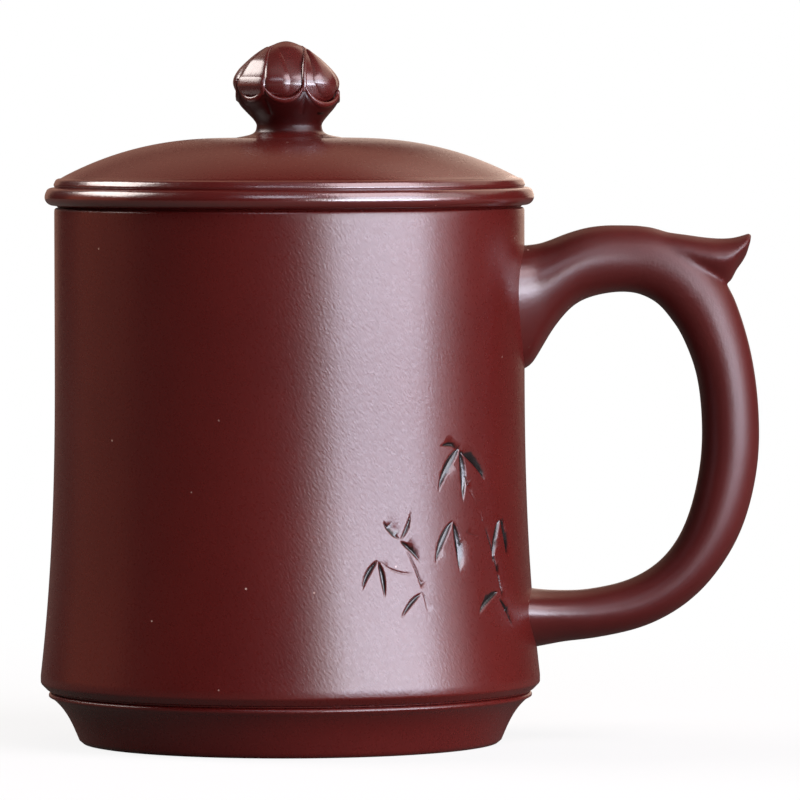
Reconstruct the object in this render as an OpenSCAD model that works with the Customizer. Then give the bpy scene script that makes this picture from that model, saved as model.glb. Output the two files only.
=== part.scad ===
// Lidded tea mug with infuser, in unglazed stoneware clay.
// Millimetres. The origin is on the mug's axis, on the surface it stands on.
// +Z is up and the handle stands out along +X.

/* [Mug wall] */
// Outer radius of the wall at the rim
rim_r = 42.2; // [36:0.1:55]
// Height of the rim above the table
rim_z = 96.2; // [80:0.1:120]
// Thickness of the wall
wall_t = 4.4; // [4:0.1:6]
// How far the wall flares out on its way down to the shoulder
flare_out = 2.7; // [0:0.1:5]
// Height at which the flare begins
flare_start_z = 70; // [50:1:75]
// Height of the shoulder, the widest line of the wall
shoulder_z = 12.2; // [11.5:0.1:16]
// Height of the straight band at the shoulder
shoulder_band = 1.3; // [0.5:0.1:2]
// How far the wall's lower edge is chamfered in above the foot
shoulder_chamfer = 1.2; // [0.5:0.1:1.5]

/* [Rim seat] */
// Width of the ledge inside the rim that the infuser hangs on
seat_w = 1.9; // [1.4:0.1:2.3]
// Depth of the ledge below the rim
seat_depth = 3; // [2.5:0.1:4]

/* [Foot and base] */
// Height of the foot, up to the groove line
foot_h = 9.3; // [8:0.1:10.5]
// How far the foot's lower edge stands in from the shoulder
foot_inset = 7.2; // [5:0.1:9]
// Width of the ring that touches the table
bearing_w = 3.7; // [3:0.1:5]
// Radius of the foot's lower edge
foot_edge = 0.5; // [0.2:0.1:1]
// How far the foot's upper edge stands in from the wall's lower edge
foot_step = 0.3; // [0.1:0.1:0.6]
// Depth of the recess under the base
recess_h = 2.5; // [1:0.1:3.5]
// Thickness of the base slab
base_t = 4; // [3:0.1:4.5]

/* [Handle] */
// How far the handle stands out from the wall
handle_reach = 42.4; // [38:0.1:55]
// Thickness of the handle's bar, seen from the side
handle_t = 10.3; // [8:0.1:12.5]
// Width of the handle's bar, across the mug
handle_w = 13; // [10:0.1:16]
// Distance from the rim down to the middle of the upper root
handle_drop = 17.8; // [16:0.1:25]
// Height of the middle of the lower root
handle_low_z = 22.4; // [20:0.1:30]
// Extra width of the bar at its roots
root_spread = 3; // [0:0.1:5]

/* [Infuser] */
// Depth of the infuser, from the rim to the underside of its floor
infuser_depth = 58; // [40:1:65]
// Thickness of the infuser's wall
infuser_t = 2.4; // [2:0.1:3.5]
// Thickness of the infuser's floor
infuser_floor_t = 2.6; // [2:0.1:4]
// How much narrower the infuser is at its floor, on the radius
infuser_taper = 2; // [0:0.1:4]
// Radius of one straining hole
hole_r = 1; // [0.7:0.05:1.3]
// Straining holes in each row of the wall
wall_holes = 24; // [12:2:30]
// Rows of straining holes in the wall
hole_rows = 3; // [1:1:4]
// Distance between rows of holes, and between the floor's rings of holes
hole_pitch = 7; // [5:0.5:8]
// Rings of straining holes in the floor
floor_rings = 3; // [1:1:4]

/* [Lid] */
// Height of the lid's dome above the rim
dome_h = 12.45; // [10:0.05:20]
// Thickness of the lid over its hollow
lid_t = 4; // [3:0.1:5]
// Radius of the rounded bead on the lid's edge
bead_r = 1.5; // [1:0.05:1.8]
// How far the middle of the bead stands out past the rim
bead_out = 0.15; // [0:0.05:1]
// Radius of the small ridge above the bead
ridge_r = 1.15; // [0.8:0.05:1.3]
// How far the middle of the ridge stands in from the rim
ridge_in = 1.35; // [1:0.05:2]
// Depth of the locating collar under the lid
collar_h = 5.7; // [4:0.1:9]
// Thickness of the locating collar
collar_t = 2.6; // [2:0.1:4]

/* [Knob] */
// Radius of the knob's neck
neck_r = 5.8; // [4.5:0.1:7]
// Radius of the neck's root where it spreads on to the lid
neck_root_r = 10.5; // [8:0.1:13]
// Height of the neck's spreading root
neck_root_h = 1.55; // [1:0.05:3]
// Height from the lid to the underside of the cup
neck_h = 1.95; // [1.6:0.05:5]
// Radius of the cup that the petals stand in
cup_r = 9.2; // [8:0.1:12]
// Height of the cup
cup_h = 5.6; // [4:0.1:9]
// Greatest radius of the petals
bud_r = 9.8; // [9:0.1:13]
// Height of the bud above its widest line
bud_h = 7.8; // [6:0.1:12]
// Thickness of a petal
petal_t = 1.4; // [1:0.1:2]
// Number of petals around the bud
outer_petals = 7; // [5:1:9]
// Number of petals that close the bud on top
inner_petals = 4; // [3:1:5]

/* [Fits] */
// Gap all round the infuser's flange in the mug's seat
flange_gap = 0.4; // [0.3:0.05:0.8]
// Gap between the infuser's wall and the inside of the mug
infuser_gap = 1; // [0.5:0.05:1.5]
// Gap between the lid's collar and the infuser's mouth
collar_gap = 0.5; // [0.3:0.05:1]
// Gap between the infuser's flange and the lid above it
lid_gap = 0.3; // [0.2:0.05:0.6]
// Seam of slip between pieces of clay that are luted together on a curve
slip_gap = 0.05; // [0.03:0.01:0.1]

/* [Hidden] */
$fn = 120;
CLAY = [0.36, 0.15, 0.14];
DARK_CLAY = [0.30, 0.12, 0.11];
RED_CLAY = [0.42, 0.18, 0.16];

// Steps in each smooth stretch of an outline
CURVE_STEPS = 12;
ARC_STEP = 15;
// How sharply the wall's flare gathers near the shoulder
FLARE_POWER = 2.5;
// A cut reaches this far past what it cuts
OVERCUT = 1;

// Mug, worked out from the sizes above
shoulder_r = rim_r + flare_out;
inner_r = rim_r - wall_t;
seat_r = inner_r + seat_w;
seat_z = rim_z - seat_depth;
wall_foot_r = shoulder_r - shoulder_chamfer;
foot_top_r = wall_foot_r - foot_step;
foot_r = shoulder_r - foot_inset;
base_r = foot_r - bearing_w;
base_top_z = recess_h + base_t;

// Foot: a straight taper and a cove that turns out below the groove line
FOOT_TAPER = 0.42;
FOOT_COVE_POWER = 4;
FOOT_BEAD_H = 0.6;
foot_cove_h = foot_h - FOOT_BEAD_H;
foot_cove_out = foot_top_r - foot_r - FOOT_TAPER * foot_cove_h;

// Infuser
flange_r = seat_r - flange_gap;
flange_top_z = rim_z - lid_gap;
infuser_r = inner_r - infuser_gap;
mouth_r = infuser_r - infuser_t;
infuser_low_r = infuser_r - infuser_taper;
infuser_low_z = rim_z - infuser_depth;
infuser_floor_z = infuser_low_z + infuser_floor_t;
// Radius of the rounded edge under the floor
FLOOR_EDGE = 1;
// Height of the lowest row of straining holes above the floor
FIRST_ROW_UP = 5;

// Lid: the moulded edge stands on the rim, with a bead, a ridge and then the dome
LID_EDGE_OUT = 0.2;
BEAD_UP = 1.9;
BEAD_FROM = -70;
BEAD_TO = 75;
RIDGE_UP = 4.35;
RIDGE_FROM = -40;
RIDGE_TO = 80;
DOME_EDGE_UP = 5.75;
DOME_EDGE_IN = 2;
DOME_POWER = 2.4;
dome_top_z = rim_z + dome_h;
dome_edge_r = rim_r - DOME_EDGE_IN;
dome_rise = dome_h - DOME_EDGE_UP;
collar_r = mouth_r - collar_gap;
COLLAR_CHAMFER = 0.6;
// The hollow under the dome has an upright side and an arched roof
HOLLOW_SIDE_H = 3;
HOLLOW_POWER = 2.6;
hollow_r = collar_r - collar_t;
hollow_rise = dome_h - lid_t - HOLLOW_SIDE_H;

// Knob
neck_top_z = dome_top_z + neck_h;
cup_top_z = neck_top_z + cup_h;
// The bud's widest line is this far above the cup, and its outline is a rounded cone
BUD_MID_UP = 2;
BUD_POWER = 1.25;
bud_mid_z = cup_top_z + BUD_MID_UP;
core_r = bud_r - petal_t;
core_h = bud_h - petal_t;
// The outer petals reach this far up the bud, as an angle from its widest line
OUTER_TOP_ANGLE = 64;
// Gap between neighbouring petals, as an angle round the bud
PETAL_SEAM = 1.5;
// Radius of the rounded lower end of a petal
petal_scallop_r = 5.4;
petal_scallop_z = cup_top_z + petal_scallop_r;

// Handle: where the middle of each section lies, as shares of the handle's reach and height, how far
// the section leans over from upright, in degrees, and its thickness as a share of the bar's
handle_high_z = rim_z - handle_drop;
handle_span = handle_high_z - handle_low_z;
handle_line_reach = handle_reach - handle_t / 2;
HANDLE_SECTIONS = [
    [-0.10, 0.985, 2, 2.25], [0.03, 1.00, 3, 2.15], [0.10, 1.035, 5, 1.93], [0.18, 1.08, 8, 1.65],
    [0.29, 1.125, 11, 1.37], [0.435, 1.152, 12, 1.16], [0.59, 1.14, 20, 1.14], [0.735, 1.085, 36, 1.16],
    [0.845, 1.01, 53, 1.14], [0.91, 0.93, 65, 1.06], [0.97, 0.80, 77, 1.00], [0.997, 0.645, 87, 1.00],
    [0.99, 0.49, 95, 1.00], [0.94, 0.335, 108, 1.00], [0.85, 0.215, 125, 0.965], [0.715, 0.12, 144, 0.93],
    [0.54, 0.05, 160, 0.90], [0.33, 0.015, 170, 0.88], [0.18, 0.005, 173, 0.90], [0.065, 0, 175, 1.00],
    [-0.06, 0, 176, 1.15]
];
// The sections that carry the spur
CREST_FROM = 4;
CREST_TO = 10;
ROOT_SHARE = 0.3;
RINGS_PER_SPAN = 3;
BAR_SIDES = 24;

// Spur: each section as [out past the wall, above the upper root, lean, thickness, width]
SPUR_SECTIONS = [
    [22.5, 10.4, 15, 5.6, 10], [28.3, 9.2, 10, 6.6, 12], [32.8, 8.5, 5, 7.4, 12], [36.4, 8.3, 5, 7.8, 11],
    [38.8, 9.5, 11, 6.4, 9.5], [40.1, 10.2, 10, 4.8, 7.5], [40.7, 11.0, 10, 2.4, 4.5]
];
// The plane between the spur and the loop falls from this point of the crest at this angle
CREASE_OUT = 16.6;
CREASE_UP = 14.5;
CREASE_ANGLE = 26;

// Radius of the outside of the wall at height z
function wall_r(z) =
    rim_r + flare_out * pow(max(0, flare_start_z - z) / (flare_start_z - shoulder_z), FLARE_POWER);

// Radius of the outside of the foot at height z
function foot_side_r(z) =
    foot_r + FOOT_TAPER * z + foot_cove_out * pow(z / foot_cove_h, FOOT_COVE_POWER);

// Height of the lid's outside at radius r
function dome_z(r) =
    dome_top_z - dome_rise * pow((r - neck_root_r) / (dome_edge_r - neck_root_r), DOME_POWER);

// Radius of the infuser's outside at height z
function infuser_side_r(z) =
    infuser_low_r + infuser_taper * (z - infuser_low_z) / (seat_z - infuser_low_z);

// Points on an arc in the outline plane
function arc(middle, r, from, to) =
    [for (a = [from : (to - from) / ceil(abs(to - from) / ARC_STEP) : to + 0.001 * sign(to - from)])
        [middle[0] + r * cos(a), middle[1] + r * sin(a)]];

// Points on the bud's outline, a rounded cone, from one height angle to another
function bud_line(r, h, from, to) =
    [for (i = [0 : CURVE_STEPS]) let (a = from + (to - from) * i / CURVE_STEPS)
        [r * pow(cos(a), BUD_POWER), bud_mid_z + h * sign(a) * pow(abs(sin(a)), BUD_POWER)]];

// The height angle at which an outline of height h meets the top of the cup
function bud_low_angle(h) = -asin(pow(BUD_MID_UP / h, 1 / BUD_POWER));

// A list turned back to front
function reversed(list) = [for (i = [len(list) - 1 : -1 : 0]) list[i]];

// A smooth curve through p1 and p2, with p0 and p3 before and after them, at share t
function through(p0, p1, p2, p3, t) =
    0.5 * (2 * p1 + (p2 - p0) * t + (2 * p0 - 5 * p1 + 4 * p2 - p3) * t * t
        + (3 * p1 - p0 - 3 * p2 + p3) * t * t * t);

// The smooth curve through all points of a line, with n steps in each span
function smooth_line(points, n) = let (last = len(points) - 1) concat(
    [for (i = [0 : last - 1], k = [0 : n - 1])
        through(points[max(0, i - 1)], points[i], points[i + 1], points[min(last, i + 2)], k / n)],
    [points[last]]);

// The outside outline of the wall, from its lower edge up to the flare's start
wall_outside = concat(
    [[wall_foot_r, foot_h], [shoulder_r, shoulder_z - shoulder_band]],
    [for (i = [0 : CURVE_STEPS])
        let (z = shoulder_z + (flare_start_z - shoulder_z) * i / CURVE_STEPS) [wall_r(z), z]]);

// The handle's rings, each [x, z, lean, thickness, width]
handle_rings = [for (p = smooth_line(HANDLE_SECTIONS, RINGS_PER_SPAN)) [
    rim_r + handle_line_reach * p[0],
    handle_low_z + handle_span * p[1],
    p[2],
    handle_t * p[3],
    handle_w + root_spread * pow(max(0, 1 - p[0] / ROOT_SHARE), 2)
]];

// The spur's rings, in the same form
spur_rings = [for (p = smooth_line(SPUR_SECTIONS, RINGS_PER_SPAN))
    [rim_r + p[0], handle_high_z + p[1], p[2], p[3], p[4]]];

// A bar with an oval section, swept through rings of [x, z, lean, thickness, width]
module swept_bar(rings) {
    last = len(rings) - 1;
    points = [for (r = rings, k = [0 : BAR_SIDES - 1])
        let (a = 360 * k / BAR_SIDES, out = r[3] / 2 * cos(a), across = r[4] / 2 * sin(a))
        [r[0] + sin(r[2]) * out, across, r[1] + cos(r[2]) * out]];
    sides = [for (i = [0 : last - 1], k = [0 : BAR_SIDES - 1])
        let (a = i * BAR_SIDES + k, b = i * BAR_SIDES + (k + 1) % BAR_SIDES)
        [a, b, b + BAR_SIDES, a + BAR_SIDES]];
    first_end = [for (k = [BAR_SIDES - 1 : -1 : 0]) k];
    last_end = [for (k = [0 : BAR_SIDES - 1]) last * BAR_SIDES + k];
    polyhedron(points, concat(sides, [first_end, last_end]));
}

// The half-space above the crease between the loop and its spur
module above_crease() {
    size = handle_reach * 2;
    translate([rim_r + CREASE_OUT, 0, handle_high_z + CREASE_UP])
        rotate([0, CREASE_ANGLE, 0])
            translate([-size / 2, -size / 2, 0])
                cube(size);
}

// Everything inside the outside of the wall
module wall_envelope() {
    rotate_extrude()
        polygon(concat([[0, foot_h]], wall_outside, [[rim_r, rim_z], [0, rim_z]]));
}

module mug_wall() {
    color(CLAY)
        rotate_extrude()
            polygon(concat(
                [[inner_r, foot_h]],
                wall_outside,
                [[rim_r, rim_z], [seat_r, rim_z], [seat_r, seat_z], [inner_r, seat_z]]));
}

module foot_ring() {
    side = [for (i = [1 : CURVE_STEPS]) let (z = foot_cove_h * i / CURVE_STEPS) [foot_side_r(z), z]];
    inside_cove = [for (a = [0 : ARC_STEP : 90])
        [base_r + (inner_r - base_r) * sin(a), foot_h - (foot_h - base_top_z) * cos(a)]];
    color(CLAY)
        rotate_extrude()
            polygon(concat(
                [[base_r, 0], [foot_r - foot_edge, 0]],
                side,
                [[foot_top_r, foot_h]],
                reversed(inside_cove)));
}

module base_slab() {
    color(DARK_CLAY)
        translate([0, 0, recess_h])
            cylinder(r = base_r, h = base_t);
}

module handle_loop() {
    color(CLAY)
        difference() {
            swept_bar(handle_rings);
            wall_envelope();
            above_crease();
        }
}

module thumb_spur() {
    crest = [for (i = [CREST_FROM * RINGS_PER_SPAN : CREST_TO * RINGS_PER_SPAN]) handle_rings[i]];
    color(CLAY)
        intersection() {
            union() {
                swept_bar(crest);
                swept_bar(spur_rings);
            }
            above_crease();
        }
}

module infuser_flange() {
    color(RED_CLAY)
        translate([0, 0, seat_z])
            difference() {
                cylinder(r = flange_r, h = flange_top_z - seat_z);
                translate([0, 0, -OVERCUT])
                    cylinder(r = mouth_r, h = flange_top_z - seat_z + 2 * OVERCUT);
            }
}

module infuser_wall() {
    inside_low_r = infuser_side_r(infuser_floor_z) - infuser_t;
    color(RED_CLAY)
        difference() {
            rotate_extrude()
                polygon([
                    [inside_low_r, infuser_floor_z],
                    [infuser_side_r(infuser_floor_z), infuser_floor_z],
                    [infuser_r, seat_z],
                    [mouth_r, seat_z]
                ]);
            for (row = [1 : hole_rows], i = [0 : wall_holes - 1])
                translate([0, 0, infuser_floor_z + FIRST_ROW_UP + hole_pitch * (row - 1)])
                    rotate([0, 90, 360 * (i + (row % 2) / 2) / wall_holes])
                        translate([0, 0, inside_low_r - OVERCUT])
                            cylinder(r = hole_r, h = infuser_t + infuser_taper + 2 * OVERCUT);
        }
}

module infuser_floor() {
    low_r = infuser_side_r(infuser_floor_z);
    color(RED_CLAY)
        difference() {
            rotate_extrude()
                polygon(concat(
                    [[0, infuser_low_z]],
                    arc([low_r - FLOOR_EDGE, infuser_low_z + FLOOR_EDGE], FLOOR_EDGE, -90, 0),
                    [[low_r, infuser_floor_z], [0, infuser_floor_z]]));
            for (ring = [0 : floor_rings], i = [0 : max(1, 6 * ring) - 1])
                rotate(360 * i / max(1, 6 * ring))
                    translate([hole_pitch * ring, 0, infuser_low_z - OVERCUT])
                        cylinder(r = hole_r, h = infuser_floor_t + 2 * OVERCUT);
        }
}

module lid_dome() {
    bead = arc([rim_r + bead_out, rim_z + BEAD_UP], bead_r, BEAD_FROM, BEAD_TO);
    ridge = arc([rim_r - ridge_in, rim_z + RIDGE_UP], ridge_r, RIDGE_FROM, RIDGE_TO);
    dome = [for (i = [CURVE_STEPS : -1 : 0])
        let (r = neck_root_r + (dome_edge_r - neck_root_r) * i / CURVE_STEPS) [r, dome_z(r)]];
    hollow = [for (i = [0 : CURVE_STEPS]) let (r = hollow_r * i / CURVE_STEPS)
        [r, dome_top_z - lid_t - hollow_rise * pow(r / hollow_r, HOLLOW_POWER)]];
    color(CLAY)
        rotate_extrude()
            polygon(concat(
                [[hollow_r, rim_z], [rim_r + LID_EDGE_OUT, rim_z]],
                bead,
                ridge,
                dome,
                [[0, dome_top_z]],
                hollow));
}

module lid_collar() {
    color(RED_CLAY)
        translate([0, 0, rim_z - collar_h])
            rotate_extrude()
                polygon([
                    [hollow_r, 0],
                    [collar_r - COLLAR_CHAMFER, 0],
                    [collar_r, COLLAR_CHAMFER],
                    [collar_r, collar_h],
                    [hollow_r, collar_h]
                ]);
}

module knob_stem() {
    root = [for (i = [0 : CURVE_STEPS / 2]) let (t = i / (CURVE_STEPS / 2))
        [neck_r + (neck_root_r - neck_r) * pow(1 - t, 2), dome_top_z + neck_root_h * t]];
    cup = [for (i = [0 : CURVE_STEPS]) let (t = i / CURVE_STEPS)
        [neck_r + (cup_r - neck_r) * t * t * (3 - 2 * t), neck_top_z + cup_h * t]];
    color(DARK_CLAY)
        rotate_extrude()
            polygon(concat([[0, dome_top_z]], root, cup, [[0, cup_top_z]]));
}

module knob_core() {
    color(DARK_CLAY)
        rotate_extrude()
            polygon(concat([[0, cup_top_z]], bud_line(core_r, core_h, bud_low_angle(core_h), 90)));
}

// A slice of the bud's outer skin, standing on the core, centred on +X
module petal_skin(low_angle, high_angle, width) {
    inside = bud_line(core_r + slip_gap, core_h + slip_gap, low_angle, high_angle);
    rotate(-width / 2)
        rotate_extrude(angle = width)
            polygon(concat(bud_line(bud_r, bud_h, low_angle, high_angle), reversed(inside)));
}

module knob_outer_petals() {
    width = 360 / outer_petals;
    color(CLAY)
        for (i = [0 : outer_petals - 1])
            rotate(width * i - 90)
                intersection() {
                    petal_skin(bud_low_angle(bud_h), OUTER_TOP_ANGLE, width - PETAL_SEAM);
                    translate([0, 0, petal_scallop_z])
                        rotate([0, 90, 0])
                            cylinder(r = petal_scallop_r, h = bud_r + OVERCUT);
                }
}

module knob_inner_petals() {
    width = 360 / inner_petals;
    color(RED_CLAY)
        for (i = [0 : inner_petals - 1])
            rotate(width * i)
                petal_skin(OUTER_TOP_ANGLE + PETAL_SEAM, 90, width - PETAL_SEAM);
}

mug_wall();
foot_ring();
base_slab();
handle_loop();
thumb_spur();
infuser_flange();
infuser_wall();
infuser_floor();
lid_dome();
lid_collar();
knob_stem();
knob_core();
knob_outer_petals();
knob_inner_petals();
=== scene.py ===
import math

import bmesh
import bpy
import numpy as np
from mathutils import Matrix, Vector


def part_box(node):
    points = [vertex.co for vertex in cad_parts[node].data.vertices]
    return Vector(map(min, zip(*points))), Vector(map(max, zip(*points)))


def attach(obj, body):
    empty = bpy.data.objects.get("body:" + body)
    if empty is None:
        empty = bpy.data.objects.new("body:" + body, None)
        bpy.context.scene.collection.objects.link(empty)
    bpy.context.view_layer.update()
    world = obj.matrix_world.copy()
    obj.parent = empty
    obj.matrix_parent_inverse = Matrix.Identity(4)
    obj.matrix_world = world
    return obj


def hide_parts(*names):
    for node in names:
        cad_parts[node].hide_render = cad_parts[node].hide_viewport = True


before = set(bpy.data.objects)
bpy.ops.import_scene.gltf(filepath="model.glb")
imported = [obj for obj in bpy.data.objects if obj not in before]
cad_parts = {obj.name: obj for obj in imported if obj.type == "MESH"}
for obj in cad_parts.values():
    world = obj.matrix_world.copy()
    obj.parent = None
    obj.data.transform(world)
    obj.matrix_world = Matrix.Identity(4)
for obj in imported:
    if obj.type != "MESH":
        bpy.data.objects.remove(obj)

scene = bpy.context.scene
MM = 0.001
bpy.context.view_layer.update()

# ---------------------------------------------------------------- sizes, in millimetres, as in the part
wall_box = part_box("mug_wall")
RIM_R, RIM_Z = 42.2, wall_box[1].z / MM
SHOULDER_R, SHOULDER_Z = wall_box[1].x / MM, 12.2
INNER_R, SEAT_R, SEAT_Z = 37.8, 39.7, 93.2
FLARE_FROM_Z, FLARE_POWER = 70.0, 2.5
FOOT_R, FOOT_H, GROOVE_R = 37.7, 9.3, 43.0
FOOT_SLOPE, FOOT_CURL, CURL_Z = 0.42, 2.046, 8.7
BASE_R, BASE_LOW, BASE_TOP = 34.0, 2.5, 6.5
DOME_TOP, DOME_DROP, DOME_POWER = 108.65, 6.7, 2.3
CROWN_R, DOME_EDGE_R = 10.5, 40.2
HOLLOW_R, HOLLOW_TOP, HOLLOW_DROP = 31.3, 104.65, 5.45
COLLAR_R, COLLAR_LOW = 33.9, 90.5
# A turned piece has a hole of this radius at its middle, until it is closed
MIDDLE_R = 0.4


def wall_radius(z):
    flare = max(0.0, FLARE_FROM_Z - z) / (FLARE_FROM_Z - SHOULDER_Z)
    return RIM_R + (SHOULDER_R - RIM_R) * flare ** FLARE_POWER


def foot_radius(z):
    return FOOT_R + FOOT_SLOPE * z + FOOT_CURL * (z / CURL_Z) ** 4


def dome_height(r):
    return DOME_TOP - DOME_DROP * (max(0.0, r - CROWN_R) / (DOME_EDGE_R - CROWN_R)) ** DOME_POWER


# ---------------------------------------------------------------- bench tools
def clear_bench():
    """Object mode, with nothing selected."""
    if bpy.context.object and bpy.context.object.mode != "OBJECT":
        bpy.ops.object.mode_set(mode="OBJECT")
    bpy.ops.object.select_all(action="DESELECT")


def pick(piece):
    clear_bench()
    piece.select_set(True)
    bpy.context.view_layer.objects.active = piece
    return piece


def name_piece(name):
    piece = bpy.context.object
    piece.name = piece.data.name = name
    bpy.ops.object.transform_apply(location=True, rotation=True, scale=True)
    return piece


def finish_mesh(piece, angle=None, close=True):
    """Merges the seam, closes what is open, points the faces outwards and smooths the shading."""
    pick(piece)
    bpy.ops.object.mode_set(mode="EDIT")
    bpy.ops.mesh.select_all(action="SELECT")
    bpy.ops.mesh.remove_doubles(threshold=2e-7)
    if close:
        bpy.ops.mesh.select_all(action="SELECT")
        bpy.ops.mesh.fill_holes(sides=0)
    bpy.ops.mesh.select_all(action="SELECT")
    bpy.ops.mesh.normals_make_consistent(inside=False)
    bpy.ops.object.mode_set(mode="OBJECT")
    if angle is None:
        bpy.ops.object.shade_smooth()
    else:
        bpy.ops.object.shade_smooth_by_angle(angle=math.radians(angle))
    return piece


def add_modifier(piece, kind, **settings):
    """Adds a modifier, sets it and applies it."""
    pick(piece)
    m = piece.modifiers.new(kind.lower(), kind)
    for key, value in settings.items():
        setattr(m, key, value)
    bpy.ops.object.modifier_apply(modifier=m.name)
    return piece


def eased(corners, steps=4):
    """Rounds each corner [r, z, ease] of an outline; ease is how far the rounding reaches along each side."""
    out = []
    for i, corner in enumerate(corners):
        r, z, ease = (*corner, 0)[:3]
        if not ease or i in (0, len(corners) - 1):
            out.append((r, z))
            continue
        p = Vector((r, z))
        before = (Vector(corners[i - 1][:2]) - p).normalized() * ease
        after = (Vector(corners[i + 1][:2]) - p).normalized() * ease
        for k in range(steps + 1):
            t = k / steps
            q = p + before * (1 - t) ** 2 + after * t ** 2
            out.append((q.x, q.y))
    return out


def stepped(line, longest):
    """The same outline with no stretch longer than `longest`."""
    out = [line[0]]
    for a, b in zip(line, line[1:]):
        n = max(1, math.ceil(math.dist(a, b) / longest))
        out += [(a[0] + (b[0] - a[0]) * k / n, a[1] + (b[1] - a[1]) * k / n) for k in range(1, n + 1)]
    return out


def arc(middle, r, start, end, steps):
    """Points on an arc, from one angle in degrees to another."""
    angles = [math.radians(start + (end - start) * k / steps) for k in range(steps + 1)]
    return [(middle[0] + r * math.cos(a), middle[1] + r * math.sin(a)) for a in angles]


def smooth_line(points, steps):
    """A smooth curve through every row of `points`."""
    p = np.array(points, float)
    out = []
    for i in range(len(p) - 1):
        a, b, c, d = p[max(0, i - 1)], p[i], p[i + 1], p[min(len(p) - 1, i + 2)]
        square = 2 * a - 5 * b + 4 * c - d
        cube = 3 * b - a - 3 * c + d
        for t in (k / steps for k in range(steps)):
            out.append(0.5 * (2 * b + (c - a) * t + square * t * t + cube * t ** 3))
    return [*out, p[-1]]


def turn_clay(name, line, sides=208):
    """Turns a piece as on the wheel: a ring at the outline's first point is drawn on through the others."""
    clear_bench()
    r, z = line[0]
    bpy.ops.mesh.primitive_circle_add(vertices=sides, radius=r * MM, location=(0, 0, z * MM))
    piece = name_piece(name)
    bpy.ops.object.mode_set(mode="EDIT")
    bpy.ops.mesh.select_all(action="SELECT")
    for (r1, z1), (r2, z2) in zip(line, line[1:]):
        bpy.ops.mesh.extrude_region_move(TRANSFORM_OT_translate={"value": (0, 0, (z2 - z1) * MM)})
        bpy.ops.transform.resize(value=(r2 / r1, r2 / r1, 1), center_override=(0, 0, z2 * MM))
    bpy.ops.object.mode_set(mode="OBJECT")
    return piece


# Sections of a pulled bar. Each moves a place on a round bar, [through, across] from -1 to 1, to its own.
def oval(a, b):
    return a, b


def squared(a, b, power=6):
    """An oval with flatter sides."""
    return math.copysign(abs(a) ** (2 / power), a), math.copysign(abs(b) ** (2 / power), b)


def lopsided(a, b):
    """Flat on one side and oval on the other."""
    return squared(a, b) if b < 0 else oval(a, b)


def keeled(a, b):
    """An oval whose lower half draws in to a keel."""
    under = max(0.0, (0.2 - a) / 1.2)
    return a, b * (1 - 0.6 * under ** 0.8)


# A ring is pulled in a little when the bar is smoothed, so it starts that much larger
PULLED_IN = 1.011


def bridge_rings(piece, i, sides):
    """Joins ring i of a bar to the one before it."""
    bm = bmesh.from_edit_mesh(piece.data)
    bm.verts.ensure_lookup_table()
    for v in bm.verts[(i - 1) * sides:(i + 1) * sides]:
        v.select = True
    bm.select_flush(True)
    bmesh.update_edit_mesh(piece.data)
    bpy.ops.mesh.bridge_edge_loops()


def pull_bar(name, rings, sides=24, section=oval):
    """Pulls a bar of clay: a ring at each place, [out, up, rise, turn, thickness, width], is bridged to the
    one before. rise is how far the ring leans back, and turn is its place round the mug, in degrees."""
    clear_bench()
    for i, (out, up, rise, turn, thick, wide) in enumerate(rings):
        if i:
            bpy.ops.mesh.select_all(action="DESELECT")
        middle = Vector((out, 0, up)) * MM
        lean = math.radians(rise)
        bpy.ops.mesh.primitive_circle_add(vertices=sides, radius=MM, location=middle, rotation=(0, -lean, 0))
        if not i:
            piece = name_piece(name)
            bpy.ops.object.mode_set(mode="EDIT")
            bpy.ops.mesh.select_all(action="SELECT")
        through = Vector((math.cos(lean), 0, math.sin(lean)))
        bm = bmesh.from_edit_mesh(piece.data)
        bm.verts.ensure_lookup_table()
        for v in bm.verts[i * sides:]:
            from_middle = (v.co - middle) / MM
            a, b = section(from_middle.dot(through), from_middle.y)
            v.co = middle + (through * a * thick / 2 + Vector((0, b * wide / 2, 0))) * MM
        bmesh.update_edit_mesh(piece.data)
        if turn:
            bpy.ops.transform.rotate(value=-math.radians(turn), orient_axis="Z", center_override=(0, 0, 0))
        if i:
            bridge_rings(piece, i, sides)
    bpy.ops.object.mode_set(mode="OBJECT")
    finish_mesh(piece)
    add_modifier(piece, "SUBSURF", levels=1, render_levels=1)
    return finish_mesh(piece)


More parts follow.
